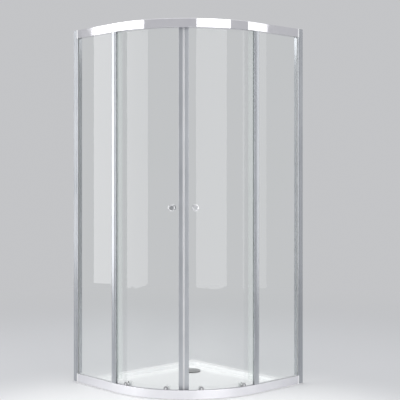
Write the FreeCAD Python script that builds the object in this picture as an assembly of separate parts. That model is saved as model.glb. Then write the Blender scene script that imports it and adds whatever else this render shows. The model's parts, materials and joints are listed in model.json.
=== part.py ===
import FreeCAD, Part
import math
import os

# Quadrant shower enclosure on a low tray, millimetres, +Z up.
# While it is modelled, the inner corner of the room is at (0, 0): the left wall is the plane x = 0,
# the other wall is the plane y = 0, and the enclosure fills 0 <= x <= SIDE, -SIDE <= y <= 0.
# A place on the frame is given by s, the distance from the left wall along the left side panel,
# or by an angle from the meeting line of the two doors, and by u, the depth inwards from the
# outer face of the rails. The right half is the left half mirrored over the room's diagonal.

V = FreeCAD.Vector

# ---------------------------------------------------------------- driving dimensions
SIDE = 900.0              # wall to the outer face of the rails
CURVE_RADIUS = 540.0      # outer face of the curved rail
TRAY_HEIGHT = 40.0
FRAME_HEIGHT = 1950.0     # underside of the bottom rail to the top of the top rail

# rails
RAIL_HEIGHT = 45.0
RAIL_DEPTH = 36.0
RAIL_WALL = 2.0
RAIL_EDGE_ROUND = 1.2     # rounding of the long outer edges
BOTTOM_SLOT_FLOOR = 20.0  # glass slot's floor above the bottom rail's underside
TOP_SLOT_CEILING = 27.0   # glass slot's ceiling above the top rail's underside
BOTTOM_TROUGH_FLOOR = 35.0
TROUGH_LIP = 6.0          # lip above the floor of each wheel trough
TOP_INNER_APRON = 7.0     # strip hanging from the inner edge of the top rail

# glass
GLASS = 6.0
OUTER_GASKET = 3.0        # between the rail's outer wall and the fixed glass
INNER_GASKET = 1.5
DOOR_GAP = 8.5            # rail's inner face to the door glass
DOOR_BOTTOM_GAP = 5.0     # tray rim to the door glass
DOOR_TOP = 38.0           # door glass above the top rail's underside
DOOR_OVERLAP = 22.0       # door glass past the end of the curve
HOLE_PLAY = 1.0           # hole in the glass round what passes through it
CUT_MARGIN = 1.0          # a cutting body reaches this far past what it cuts
SAME_PLACE = 0.01         # edges this close to a place are the ones meant

# wall channels and side profiles
CHANNEL_INSET = 0.5       # channel's outer face behind the rail's outer face
CHANNEL_WALL = 1.4
CHANNEL_BASE = 2.0
CHANNEL_LEG = 30.0
WALL_HOLE_RADIUS = 3.0
WALL_HOLE_PITCH = 580.0
WALL_HOLES = 4
NEST_GAP = 0.2            # side profile inside the channel
PROFILE_START = 8.0       # side profile's back edge from the wall
PROFILE_FRONT = 38.0      # side profile's front edge from the wall
PROFILE_WALL = 1.6
PROFILE_EDGE_ROUND = 2.5
POCKET_DEPTH = 16.4       # glass pocket in the side profile
RAIL_START = 39.0         # rail's end from the wall

# connectors and screws
TONGUE = 30.0
TONGUE_GAP = 0.3
SCREW_RADIUS = 2.0
SCREW_HEAD_RADIUS = 3.6
SCREW_HEAD_HEIGHT = 2.0
SCREW_LENGTH = 18.0
SCREW_PLAY = 0.05
SIDE_SCREWS = 3
SIDE_SCREW_PLACE = 15.0   # from the wall
SIDE_SCREW_END = 250.0    # lowest and highest side screw from the frame's ends
CAP_RADIUS = 5.5
CAP_WALL = 1.0

# fixed stiles and their seals
STILE_START = 15.0        # before the end of the straight
STILE_WIDTH = 35.0
STILE_FACE = 0.5          # crown of the beads behind the rail's outer face
STILE_EDGE = 2.6          # long edges of the face behind the rail's outer face
STILE_BEAD = 5.0          # width of the bead along each edge
STILE_BEAD_FOOT = 1.6     # where a bead meets the hollow face, behind the rail's outer face
STILE_HOLLOW = 0.9        # depth of the hollow face between the beads
STILE_LEG = 2.0
STILE_LEG_START = 7.0     # inner leg starts this far behind the face's edge
STILE_GROOVE = 28.0
WING_WIDTH = 13.0
SEAL = 1.4
SEAL_TIP_GAP = 8.3        # tips of the stile seals to the door glass
SEAL_ROOT = 3.8
BRUSH_BASE = 5.0
BRUSH_BASE_HEIGHT = 2.5
BRUSH_SETBACK = 1.5       # brush behind the edge of the stile's inner leg
SEAL_FOOT_GAP = 1.0       # foot of the stile seals above a lifted bottom roller

# door edges
EDGE_WIDTH = 21.6         # meeting profile along the curve
EDGE_THICK = 12.0
EDGE_GRIP = 18.0
EDGE_ROUND = 1.5
MEETING_GAP = 0.4         # magnet strip's face to the meeting line
MAGNET_WIDTH = 4.2
MAGNET_THICK = 9.0
END_GAP = 3.0             # tail seal stops short of the rails
TAIL_CLIP = 9.0
TAIL_LIP = 12.0
CLIP_WALL = 1.2
BOTTOM_SEAL_HEIGHT = 10.5
BOTTOM_SEAL_GAP = 1.6     # above the tray rim

# handles
KNOB_OFFSET = 60.0        # knob axis to the meeting line
KNOB_HEIGHT = 978.0       # above the bottom rail's underside
KNOB_RADIUS = 17.5
KNOB_PROJECTION = 25.0
KNOB_HEAD = 12.0
KNOB_NECK_RADIUS = 8.5
KNOB_ROSE_RADIUS = 11.0
KNOB_ROSE = 3.0
KNOB_DISH_RADIUS = 13.0
KNOB_DISH = 1.5
KNOB_EDGE_ROUND = 2.0
KNOB_NECK_ROUND = 1.2
KNOB_ROSE_ROUND = 0.8
KNOB_DISH_ROUND = 0.5
KNOB_STUD_RADIUS = 3.0
KNOB_STUD_END = 14.0      # stud's length inside the inner knob

# rollers
LEAD_ANGLE = 10.3         # leading rollers from the meeting line, degrees
TAIL_ANGLE = 37.0         # trailing rollers from the meeting line, degrees
DOOR_TRAVEL = 25.0        # travel of a door along the curve, degrees
WHEEL_RADIUS = 12.0
WHEEL_WIDTH = 5.0
WHEEL_EDGE = 0.6
WHEEL_LIFT_GAP = 0.2      # wheel's tread above the trough floor
AXLE_RADIUS = 3.0
AXLE_PLAY = 0.06
AXLE_HEAD_RADIUS = 4.5
AXLE_HEAD = 1.2
AXLE_HEAD_RECESS = 1.5
SIDE_PLAY = 0.3
SPACER_RADIUS = 4.8
FLANGE_RADIUS = 9.0
FLANGE = 0.8
WASHER = 0.75
WASHER_SEAT = 0.12        # flat washers stand this far off the curved glass
NUT_RADIUS = 11.0
NUT_HEIGHT = 9.6
NUT_EDGE = 1.5
NUT_THREAD = 6.6

# quick release of the bottom rollers
RELEASE_LIFT = 7.0
BRACKET_HALF_WIDTH = 14.0
BRACKET_WALL = 1.8
BRACKET_DEPTH = 12.4
BRACKET_BOTTOM = 14.0     # above the rail's underside
BRACKET_TOP = 42.0
BRACKET_SHELF = 30.0
BRACKET_SHELF_WALL = 2.0
BRACKET_SCREW_OFFSET = 8.2
BRACKET_SCREW_HEIGHT = 21.5
BRACKET_SCREW_HEAD = 1.2
BRACKET_NUT_RADIUS = 3.2
BRACKET_NUT = 2.6
SLIDER_GAP = 0.3
SLIDER_TOP = 55.0
SLIDER_HALF_WIDTH = 10.0
RELEASE_AXLE_RADIUS = 3.6
RELEASE_AXLE_PLAY = 0.5
STEM_RADIUS = 2.0
STEM_PLAY = 0.2
COLLAR_RADIUS = 3.9
COLLAR_HEIGHT = 1.8
COLLAR_BOTTOM = 15.0
FINGER_TAB = 9.0
FINGER_TAB_HEIGHT = 4.0
FINGER_TAB_DROP = 1.0
SPRING_RADIUS = 3.0
SPRING_WIRE = 0.35
SPRING_TURNS = 5
SPRING_END_GAP = 0.1

# stops in the top rail
STOP_LENGTH = 14.0
STOP_WIDTH = 14.0
STOP_HEIGHT = 12.0
STOP_GAP = 1.5

# tray and waste
TRAY_INSET = 2.0          # tray's edge behind the rail's outer face
TRAY_EDGE_ROUND = 3.0
RIM_WALL = 45.0
RIM_FRONT = 66.0
BASIN_CORNER = 70.0
BASIN_RUN = 16.0          # how far the basin's wall leans
BASIN_FLOOR = 17.0        # floor above the underside, at the waste
BASIN_FALL = 0.6          # fall of the floor to the waste, degrees
BASIN_ROUND = 9.0         # between the basin's walls and its floor
BASIN_LIP_ROUND = 3.0
WASTE_PLACE = 170.0       # waste's axis from both walls
WASTE_HOLE_RADIUS = 47.0
WASTE_TUBE_RADIUS = 46.0
WASTE_BORE_RADIUS = 42.5
WASTE_FLANGE_RADIUS = 57.0
WASTE_FLANGE = 2.5
WASTE_SEAT_DEPTH = 3.0    # recess for the flange and its gasket
WASTE_SEAT_PLAY = 0.5
WASTE_GASKET = 1.2
COVER_RADIUS = 54.0
COVER_THICK = 2.0
COVER_DOME = 3.0
COVER_LIFT = 4.0          # water gap under the cover's edge
COVER_LEG_RADIUS = 48.0
COVER_LEG = 3.0
COVER_LEGS = 3
COVER_SEAT_GAP = 0.2

# ---------------------------------------------------------------- places worked out from them
STRAIGHT = SIDE - CURVE_RADIUS
FRAME_TOP = TRAY_HEIGHT + FRAME_HEIGHT
TOP_RAIL_BASE = FRAME_TOP - RAIL_HEIGHT
BOTTOM_RAIL_TOP = TRAY_HEIGHT + RAIL_HEIGHT
CENTRE = V(STRAIGHT, -STRAIGHT, 0)
MEETING = -45.0

FIXED_GLASS_U = RAIL_WALL + OUTER_GASKET
WEB_U = FIXED_GLASS_U + GLASS + INNER_GASKET
TROUGH_U = WEB_U + RAIL_WALL
LIP_U = RAIL_DEPTH - RAIL_WALL
WHEEL_U = (TROUGH_U + LIP_U - WHEEL_WIDTH) / 2
DOOR_U = RAIL_DEPTH + DOOR_GAP
DOOR_INNER_U = DOOR_U + GLASS
POCKET_U = FIXED_GLASS_U - INNER_GASKET
POCKET_END_U = FIXED_GLASS_U + GLASS + INNER_GASKET
POCKET_FLOOR = PROFILE_FRONT - POCKET_DEPTH

STILE_S = STRAIGHT - STILE_START
STILE_END_S = STILE_S + STILE_WIDTH
STILE_FLOOR_S = STILE_S + STILE_GROOVE
FIXED_GLASS_START = POCKET_FLOOR + INNER_GASKET
FIXED_GLASS_END = STILE_FLOOR_S - INNER_GASKET
FIXED_GLASS_BOTTOM = TRAY_HEIGHT + BOTTOM_SLOT_FLOOR + INNER_GASKET
FIXED_GLASS_TOP = TOP_RAIL_BASE + TOP_SLOT_CEILING - RAIL_WALL - INNER_GASKET
DOOR_GLASS_BOTTOM = TRAY_HEIGHT + DOOR_BOTTOM_GAP
DOOR_GLASS_TOP = TOP_RAIL_BASE + DOOR_TOP
BOTTOM_SEAL_BASE = TRAY_HEIGHT + BOTTOM_SEAL_GAP
BOTTOM_SEAL_TOP = BOTTOM_SEAL_BASE + BOTTOM_SEAL_HEIGHT

TOP_WHEEL_Z = TOP_RAIL_BASE + RAIL_WALL + WHEEL_LIFT_GAP + WHEEL_RADIUS
BOTTOM_WHEEL_Z = TRAY_HEIGHT + BOTTOM_TROUGH_FLOOR + WHEEL_LIFT_GAP + WHEEL_RADIUS
KNOB_Z = TRAY_HEIGHT + KNOB_HEIGHT


# ---------------------------------------------------------------- geometry helpers
def corner_arc(before, corner, after, radius):
    """Tangent points and middle point of a rounding at a corner of a flat outline."""
    to_before = (before - corner).normalize()
    to_after = (after - corner).normalize()
    half = to_before.getAngle(to_after) / 2
    bisector = (to_before + to_after).normalize()
    setback = radius / math.tan(half)
    middle = corner + bisector * (radius / math.sin(half) - radius)
    return corner + to_before * setback, middle, corner + to_after * setback


def three_point_arc(start, through, stop):
    """Arc in a flat outline, through three (x, y) points."""
    return Part.Arc(V(*start, 0), V(*through, 0), V(*stop, 0)).toShape()


def open_outline(points):
    """Straight edges that join (x, y) points, without closing them."""
    corners = [V(*point, 0) for point in points]
    return [Part.LineSegment(a, b).toShape() for a, b in zip(corners, corners[1:])]


def outline(points):
    """Closed flat wire. A point is (x, y) or (x, y, rounding)."""
    corners = [V(point[0], point[1], 0) for point in points]
    edges = []
    ends = []
    for index, point in enumerate(points):
        corner = corners[index]
        if len(point) == 2:
            ends.append((corner, corner))
            continue
        before = corners[index - 1]
        after = corners[(index + 1) % len(points)]
        start, middle, stop = corner_arc(before, corner, after, point[2])
        edges.append(Part.Arc(start, middle, stop).toShape())
        ends.append((start, stop))
    for index, (start, stop) in enumerate(ends):
        following = ends[(index + 1) % len(ends)][0]
        edges.append(Part.LineSegment(stop, following).toShape())
    return Part.Wire(Part.__sortEdges__(edges))


def rectangle(x0, x1, y0, y1):
    return outline([(x0, y0), (x1, y0), (x1, y1), (x0, y1)])


def flat_face(wire, holes=()):
    face = Part.Face(wire)
    for hole in holes:
        face = face.cut(Part.Face(hole))
    return face


def upright(face, z0, z1):
    """Prism of an (s, u) section along the left straight, from z0 up to z1."""
    solid = face.extrude(V(0, 0, z1 - z0))
    solid.translate(V(0, -SIDE, z0))
    return solid


def standing_section(face, s, z):
    """An (u, z) section turned into the plane x = s."""
    turned = face.copy()
    turned.rotate(V(0, 0, 0), V(1, 0, 0), 90)
    turned.rotate(V(0, 0, 0), V(0, 0, 1), 90)
    turned.translate(V(s, -SIDE, z))
    return turned


def block(s0, s1, u0, u1, z0, z1):
    return Part.makeBox(s1 - s0, u1 - u0, z1 - z0, V(s0, u0 - SIDE, z0))


def polar(angle, radius, z=0.0):
    """Point at an angle from the meeting line, counted towards the left side panel."""
    bearing = math.radians(MEETING - angle)
    return CENTRE + V(radius * math.cos(bearing), radius * math.sin(bearing), z)


def along_curve(distance, u):
    """Angle that a distance along the curve makes at the depth u."""
    return math.degrees(distance / (CURVE_RADIUS - u))


def sector(u0, u1, angle0, angle1, z0, z1):
    """Curved block between two depths, two angles and two heights."""
    outer = CURVE_RADIUS - u0
    inner = CURVE_RADIUS - u1
    middle = (angle0 + angle1) / 2
    edges = [
        Part.Arc(polar(angle0, outer), polar(middle, outer), polar(angle1, outer)).toShape(),
        Part.LineSegment(polar(angle1, outer), polar(angle1, inner)).toShape(),
        Part.Arc(polar(angle1, inner), polar(middle, inner), polar(angle0, inner)).toShape(),
        Part.LineSegment(polar(angle0, inner), polar(angle0, outer)).toShape(),
    ]
    solid = Part.Face(Part.Wire(edges)).extrude(V(0, 0, z1 - z0))
    solid.translate(V(0, 0, z0))
    return solid


def radial_direction(angle):
    return (polar(angle, 1.0) - CENTRE).normalize()


def radial_rod(angle, z, u0, u1, radius):
    """Round rod along the radius through an angle, between two depths."""
    start = polar(angle, CURVE_RADIUS - u1, z)
    return Part.makeCylinder(radius, u1 - u0, start, radial_direction(angle))


def radial_ring(angle, z, u0, u1, radius, bore):
    return radial_rod(angle, z, u0, u1, radius).cut(radial_rod(angle, z, u0, u1, bore))


def radial_turned(angle, z, profile):
    """Solid of revolution about a radius. profile is (u, r) points with optional roundings."""
    face = Part.Face(outline(profile))
    solid = face.revolve(V(0, 0, 0), V(1, 0, 0), 360)
    solid.rotate(V(0, 0, 0), V(0, 0, 1), MEETING - angle + 180)
    solid.translate(polar(angle, CURVE_RADIUS, z))
    return solid


def rounded_uprights(solid, places, radius):
    """Rounds the upright edges that stand on the given places of the plan."""
    picked = []
    for edge in solid.Edges:
        box = edge.BoundBox
        if math.hypot(box.XLength, box.YLength) > SAME_PLACE:
            continue
        middle = V(box.Center.x, box.Center.y, 0)
        if min(middle.distanceToPoint(place) for place in places) < SAME_PLACE:
            picked.append(edge)
    return solid.makeFillet(radius, picked)


def fused(solids):
    whole = solids[0].multiFuse(solids[1:])
    return whole.removeSplitter()


def without(solid, tools):
    return solid.cut(Part.makeCompound(tools))


def mirrored(solids):
    """The same pieces on the right half."""
    return [solid.mirror(V(0, 0, 0), V(1, 1, 0)) for solid in solids]


def both_sides(solids):
    return solids + mirrored(solids)


def save(name, solids):
    """Writes one node, with its origin under the middle of the enclosure's square plan."""
    node = Part.makeCompound([piece for solid in solids for piece in solid.Solids])
    node.translate(V(-SIDE / 2, SIDE / 2, 0))
    node.exportStep("parts/" + name + ".step")


def save_pair(name, solids):
    save(name + "_left", solids)
    save(name + "_right", mirrored(solids))


# ---------------------------------------------------------------- tray and waste
def tray_wire(wall_margin, front_margin, corner):
    """Plan outline: square at the walls, quadrant at the front, with rounded corners if asked."""
    low = -(SIDE - front_margin)
    radius = CURVE_RADIUS - front_margin
    left = wall_margin
    edges = []
    diagonal = radius * math.sqrt(0.5)
    arc_start = V(STRAIGHT, low, 0)
    arc_end = V(-low, -STRAIGHT, 0)
    middle = CENTRE + V(diagonal, -diagonal, 0)
    edges.append(Part.Arc(arc_start, middle, arc_end).toShape())
    corners = [V(-low, -left, 0), V(left, -left, 0), V(left, low, 0)]
    route = [arc_end] + corners + [arc_start]
    reach = arc_end
    for index in range(1, 4):
        if corner == 0:
            edges.append(Part.LineSegment(reach, route[index]).toShape())
            reach = route[index]
            continue
        start, bend, stop = corner_arc(route[index - 1], route[index], route[index + 1], corner)
        edges.append(Part.LineSegment(reach, start).toShape())
        edges.append(Part.Arc(start, bend, stop).toShape())
        reach = stop
    edges.append(Part.LineSegment(reach, arc_start).toShape())
    return Part.Wire(edges)


def basin_foot(tray, waste):
    """Edges where the basin's walls meet its floor."""
    seat = WASTE_FLANGE_RADIUS + WASTE_SEAT_PLAY + CUT_MARGIN
    found = []
    for edge in tray.Edges:
        box = edge.BoundBox
        reach = min(math.hypot(end.X - waste.x, end.Y - waste.y) for end in edge.Vertexes)
        if box.ZMin > BASIN_FLOOR and box.ZMax < TRAY_HEIGHT - CUT_MARGIN and reach > seat:
            found.append(edge)
    return found


def shower_tray():
    waste = V(WASTE_PLACE, -WASTE_PLACE, 0)
    body = Part.Face(tray_wire(0, TRAY_INSET, 0)).extrude(V(0, 0, TRAY_HEIGHT))
    top = tray_wire(RIM_WALL, RIM_FRONT, BASIN_CORNER)
    top.translate(V(0, 0, TRAY_HEIGHT))
    low = tray_wire(RIM_WALL + BASIN_RUN, RIM_FRONT + BASIN_RUN, BASIN_CORNER - BASIN_RUN)
    hollow = Part.makeLoft([low, top], True, True)
    reach = SIDE * math.sqrt(2)
    rise = reach * math.tan(math.radians(BASIN_FALL))
    bowl = Part.makeCone(0, reach, rise, waste + V(0, 0, BASIN_FLOOR))
    bowl = bowl.fuse(Part.makeCylinder(reach, TRAY_HEIGHT, waste + V(0, 0, BASIN_FLOOR + rise)))
    hollow = hollow.common(bowl)
    tray = body.cut(hollow)
    seat = BASIN_FLOOR - WASTE_SEAT_DEPTH
    tray = without(tray, [
        Part.makeCylinder(WASTE_HOLE_RADIUS, TRAY_HEIGHT, waste),
        Part.makeCylinder(WASTE_FLANGE_RADIUS + WASTE_SEAT_PLAY, TRAY_HEIGHT, waste + V(0, 0, seat)),
    ])
    tray = tray.makeFillet(BASIN_ROUND, basin_foot(tray, waste))
    near_wall = RIM_WALL / 2
    near_front = SIDE - RIM_FRONT / 2
    lip_edges = []
    front_edges = []
    for edge in tray.Edges:
        box = edge.BoundBox
        if abs(box.ZMax - TRAY_HEIGHT) > SAME_PLACE or box.ZLength > SAME_PLACE:
            continue
        at_front = box.XMax > near_front or box.YMin < -near_front
        at_wall = box.XMax < near_wall or box.YMin > -near_wall
        if at_front and not at_wall:
            front_edges.append(edge)
        if not at_front and not at_wall:
            lip_edges.append(edge)
    tray = tray.makeFillet(BASIN_LIP_ROUND, lip_edges)
    return tray.makeFillet(TRAY_EDGE_ROUND, front_edges)


def waste_flange():
    """Threaded tube with a flange that holds the tray between itself and the trap."""
    waste = V(WASTE_PLACE, -WASTE_PLACE, 0)
    seat = BASIN_FLOOR - WASTE_SEAT_DEPTH + WASTE_GASKET
    flange = Part.makeCylinder(WASTE_FLANGE_RADIUS, WASTE_FLANGE, waste + V(0, 0, seat))
    tube = Part.makeCylinder(WASTE_TUBE_RADIUS, seat, waste)
    bore = Part.makeCylinder(WASTE_BORE_RADIUS, seat + WASTE_FLANGE, waste)
    funnel_depth = WASTE_FLANGE + COVER_LEG
    funnel = Part.makeCylinder(
        COVER_LEG_RADIUS - COVER_LEG, funnel_depth, waste + V(0, 0, seat - COVER_LEG))
    return fused([flange, tube]).cut(Part.makeCompound([bore, funnel]))


def waste_gasket():
    waste = V(WASTE_PLACE, -WASTE_PLACE, BASIN_FLOOR - WASTE_SEAT_DEPTH)
    ring = Part.makeCylinder(WASTE_FLANGE_RADIUS, WASTE_GASKET, waste)
    return ring.cut(Part.makeCylinder(WASTE_TUBE_RADIUS, WASTE_GASKET, waste))


def waste_cover():
    """Lift-off domed cover that stands on short legs over the waste."""
    seat = BASIN_FLOOR - WASTE_SEAT_DEPTH + WASTE_GASKET + WASTE_FLANGE + COVER_SEAT_GAP
    waste = V(WASTE_PLACE, -WASTE_PLACE, seat)
    height = COVER_THICK + COVER_DOME
    ball_radius = (COVER_RADIUS ** 2 + COVER_DOME ** 2) / (2 * COVER_DOME)
    ball_centre = waste + V(0, 0, COVER_LIFT + height - ball_radius)
    disc = Part.makeCylinder(COVER_RADIUS, height, waste + V(0, 0, COVER_LIFT))
    pieces = [disc.common(Part.makeSphere(ball_radius, ball_centre))]
    for leg in range(COVER_LEGS):
        turn = math.radians(leg * 360 / COVER_LEGS - MEETING)
        foot = V(math.cos(turn), math.sin(turn), 0) * COVER_LEG_RADIUS
        pieces.append(Part.makeCylinder(COVER_LEG, COVER_LIFT + COVER_THICK / 2, waste + foot))
    return fused(pieces)


# ---------------------------------------------------------------- rails
def rail(section, base):
    """Sweeps an (u, z) section along the straight, the quarter curve and the other straight."""
    straight = standing_section(section, RAIL_START, base).extrude(V(STRAIGHT - RAIL_START, 0, 0))
    curve = standing_section(section, STRAIGHT, base).revolve(CENTRE, V(0, 0, 1), 90)
    return fused([straight, curve] + mirrored([straight]))


def bottom_rail_section():
    body = outline([
        (0, 0, RAIL_EDGE_ROUND),
        (RAIL_DEPTH, 0),
        (RAIL_DEPTH, BOTTOM_TROUGH_FLOOR + TROUGH_LIP),
        (LIP_U, BOTTOM_TROUGH_FLOOR + TROUGH_LIP),
        (LIP_U, BOTTOM_TROUGH_FLOOR),
        (TROUGH_U, BOTTOM_TROUGH_FLOOR),
        (TROUGH_U, RAIL_HEIGHT),
        (WEB_U, RAIL_HEIGHT),
        (WEB_U, BOTTOM_SLOT_FLOOR),
        (RAIL_WALL, BOTTOM_SLOT_FLOOR),
        (RAIL_WALL, RAIL_HEIGHT),
        (0, RAIL_HEIGHT, RAIL_EDGE_ROUND),
    ])
    under_slot = rectangle(RAIL_WALL, WEB_U, RAIL_WALL, BOTTOM_SLOT_FLOOR - RAIL_WALL)
    under_trough = rectangle(TROUGH_U, LIP_U, RAIL_WALL, BOTTOM_TROUGH_FLOOR - RAIL_WALL)
    return flat_face(body, [under_slot, under_trough])


def top_rail_section():
    body = outline([
        (0, 0, RAIL_EDGE_ROUND),
        (RAIL_WALL, 0),
        (RAIL_WALL, TOP_SLOT_CEILING - RAIL_WALL),
        (WEB_U, TOP_SLOT_CEILING - RAIL_WALL),
        (WEB_U, 0),
        (RAIL_DEPTH, 0),
        (RAIL_DEPTH, RAIL_WALL + TROUGH_LIP),
        (LIP_U, RAIL_WALL + TROUGH_LIP),
        (LIP_U, RAIL_WALL),
        (TROUGH_U, RAIL_WALL),
        (TROUGH_U, RAIL_HEIGHT - RAIL_WALL),
        (LIP_U, RAIL_HEIGHT - RAIL_WALL),
        (LIP_U, RAIL_HEIGHT - TOP_INNER_APRON),
        (RAIL_DEPTH, RAIL_HEIGHT - TOP_INNER_APRON),
        (RAIL_DEPTH, RAIL_HEIGHT),
        (0, RAIL_HEIGHT, RAIL_EDGE_ROUND),
    ])
    over_slot = rectangle(RAIL_WALL, WEB_U, TOP_SLOT_CEILING, RAIL_HEIGHT - RAIL_WALL)
    return flat_face(body, [over_slot])


def screw_place():
    """Distance from the wall and depth of the screw that holds a rail on its tongue."""
    return RAIL_START + TONGUE / 2, (TROUGH_U + LIP_U) / 2


def rail_screw(z, direction):
    """Countersunk screw whose head is flush at the height z."""
    s, u = screw_place()
    start = V(s, u - SIDE, z)
    head = Part.makeCone(SCREW_HEAD_RADIUS, SCREW_RADIUS, SCREW_HEAD_HEIGHT, start, direction)
    return fused([head, Part.makeCylinder(SCREW_RADIUS, SCREW_LENGTH, start, direction)])


def rail_screw_hole(z, direction):
    s, u = screw_place()
    start = V(s, u - SIDE, z)
    wide = SCREW_HEAD_RADIUS + SCREW_PLAY
    narrow = SCREW_RADIUS + SCREW_PLAY
    head = Part.makeCone(wide, narrow, SCREW_HEAD_HEIGHT, start, direction)
    return fused([head, Part.makeCylinder(narrow, SCREW_LENGTH + SCREW_PLAY, start, direction)])


def bottom_rail():
    hole = rail_screw_hole(TRAY_HEIGHT, V(0, 0, 1))
    return without(rail(bottom_rail_section(), TRAY_HEIGHT), both_sides([hole]))


def top_rail():
    hole = rail_screw_hole(FRAME_TOP, V(0, 0, -1))
    return without(rail(top_rail_section(), TOP_RAIL_BASE), both_sides([hole]))


# ---------------------------------------------------------------- wall side
def channel_outer_u():
    return CHANNEL_INSET, RAIL_DEPTH - CHANNEL_INSET


def nested_u():
    """Depths between which a profile fits inside the channel's legs."""
    outer, inner = channel_outer_u()
    return outer + CHANNEL_WALL + NEST_GAP, inner - CHANNEL_WALL - NEST_GAP


def wall_hole_heights():
    lowest = TRAY_HEIGHT + (FRAME_HEIGHT - WALL_HOLE_PITCH * (WALL_HOLES - 1)) / 2
    return [lowest + WALL_HOLE_PITCH * index for index in range(WALL_HOLES)]


def side_screw_heights():
    span = FRAME_HEIGHT - 2 * SIDE_SCREW_END
    step = span / (SIDE_SCREWS - 1)
    return [TRAY_HEIGHT + SIDE_SCREW_END + step * index for index in range(SIDE_SCREWS)]


def side_screw_hole(z):
    _, inner = channel_outer_u()
    start = V(SIDE_SCREW_PLACE, inner - SIDE, z)
    return Part.makeCylinder(SCREW_RADIUS + SCREW_PLAY, SCREW_LENGTH, start, V(0, -1, 0))


def wall_channel():
    u0, u1 = channel_outer_u()
    section = outline([
        (0, u0),
        (CHANNEL_LEG, u0),
        (CHANNEL_LEG, u0 + CHANNEL_WALL),
        (CHANNEL_BASE, u0 + CHANNEL_WALL),
        (CHANNEL_BASE, u1 - CHANNEL_WALL),
        (CHANNEL_LEG, u1 - CHANNEL_WALL),
        (CHANNEL_LEG, u1),
        (0, u1),
    ])
    channel = upright(Part.Face(section), TRAY_HEIGHT, FRAME_TOP)
    holes = []
    for z in wall_hole_heights():
        start = V(0, RAIL_DEPTH / 2 - SIDE, z)
        holes.append(Part.makeCylinder(WALL_HOLE_RADIUS, CHANNEL_BASE, start, V(1, 0, 0)))
    holes += [side_screw_hole(z) for z in side_screw_heights()]
    return without(channel, holes)


def side_profile():
    """Extrusion that slides in the channel and holds the fixed glass, with a bead level with the channel."""
    u0, u1 = nested_u()
    step = CHANNEL_LEG + SIDE_PLAY
    body = outline([
        (PROFILE_START, u0),
        (PROFILE_FRONT, u0),
        (PROFILE_FRONT, POCKET_U),
        (POCKET_FLOOR, POCKET_U),
        (POCKET_FLOOR, POCKET_END_U),
        (PROFILE_FRONT, POCKET_END_U),
        (PROFILE_FRONT, u1, PROFILE_EDGE_ROUND),
        (PROFILE_START, u1),
    ])
    bead_foot = (step, u0)
    bead_top = ((step + PROFILE_FRONT) / 2, CHANNEL_INSET)
    bead_end = (PROFILE_FRONT, u0)
    bead = Part.Wire([three_point_arc(bead_foot, bead_top, bead_end)] + open_outline([bead_end, bead_foot]))
    back = rectangle(
        PROFILE_START + PROFILE_WALL, POCKET_FLOOR - PROFILE_WALL,
        u0 + PROFILE_WALL, u1 - PROFILE_WALL)
    side = rectangle(
        POCKET_FLOOR, PROFILE_FRONT - PROFILE_WALL,
        POCKET_END_U + PROFILE_WALL, u1 - PROFILE_WALL)
    section = flat_face(body, [back, side])
    pieces = [upright(face, BOTTOM_RAIL_TOP, TOP_RAIL_BASE) for face in (section, Part.Face(bead))]
    return without(fused(pieces), [side_screw_hole(z) for z in side_screw_heights()])


def side_screw(z):
    _, inner = channel_outer_u()
    start = V(SIDE_SCREW_PLACE, inner - SIDE, z)
    shank = Part.makeCylinder(SCREW_RADIUS, SCREW_LENGTH, start, V(0, -1, 0))
    return fused([shank, Part.makeCylinder(SCREW_HEAD_RADIUS, SCREW_HEAD_HEIGHT, start, V(0, 1, 0))])


def screw_cap(z):
    """Snap cap over the head of a side screw."""
    _, inner = channel_outer_u()
    start = V(SIDE_SCREW_PLACE, inner - SIDE, z)
    height = SCREW_HEAD_HEIGHT + SCREW_PLAY + CAP_WALL
    cup = Part.makeCylinder(CAP_RADIUS, height, start, V(0, 1, 0))
    rim = cup.Edges
    far = [edge for edge in rim if edge.BoundBox.YMin > inner - SIDE + height - SCREW_PLAY]
    cup = cup.makeFillet(CAP_WALL, far)
    inside = Part.makeCylinder(
        SCREW_HEAD_RADIUS + SCREW_PLAY, SCREW_HEAD_HEIGHT + SCREW_PLAY, start, V(0, 1, 0))
    return cup.cut(inside)


def rail_connector(base, tongue_bottom, tongue_top, pocket_bottom, pocket_top):
    """Block that closes the channel at a rail's height and carries the rail on its tongue."""
    u0, u1 = nested_u()
    face0, face1 = channel_outer_u()
    inside = block(CHANNEL_BASE + NEST_GAP, CHANNEL_LEG + SIDE_PLAY, u0, u1, base, base + RAIL_HEIGHT)
    shown = block(CHANNEL_LEG + SIDE_PLAY, RAIL_START, face0, face1, base, base + RAIL_HEIGHT)
    tongue = block(
        RAIL_START, RAIL_START + TONGUE, TROUGH_U + TONGUE_GAP, LIP_U - TONGUE_GAP,
        base + tongue_bottom, base + tongue_top)
    pocket = block(POCKET_FLOOR, RAIL_START, POCKET_U, POCKET_END_U, pocket_bottom, pocket_top)
    return fused([inside, shown, tongue]).cut(pocket)


def bottom_connector():
    solid = rail_connector(
        TRAY_HEIGHT, RAIL_WALL, BOTTOM_TROUGH_FLOOR - RAIL_WALL - TONGUE_GAP,
        TRAY_HEIGHT + BOTTOM_SLOT_FLOOR, BOTTOM_RAIL_TOP)
    return solid.cut(rail_screw_hole(TRAY_HEIGHT, V(0, 0, 1)))


def top_connector():
    solid = rail_connector(
        TOP_RAIL_BASE, RAIL_WALL + TONGUE_GAP, RAIL_HEIGHT - RAIL_WALL,
        TOP_RAIL_BASE, TOP_RAIL_BASE + TOP_SLOT_CEILING - RAIL_WALL)
    return solid.cut(rail_screw_hole(FRAME_TOP, V(0, 0, -1)))


# ---------------------------------------------------------------- fixed panels
def fixed_glass():
    return block(
        FIXED_GLASS_START, FIXED_GLASS_END, FIXED_GLASS_U, FIXED_GLASS_U + GLASS,
        FIXED_GLASS_BOTTOM, FIXED_GLASS_TOP)


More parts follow.
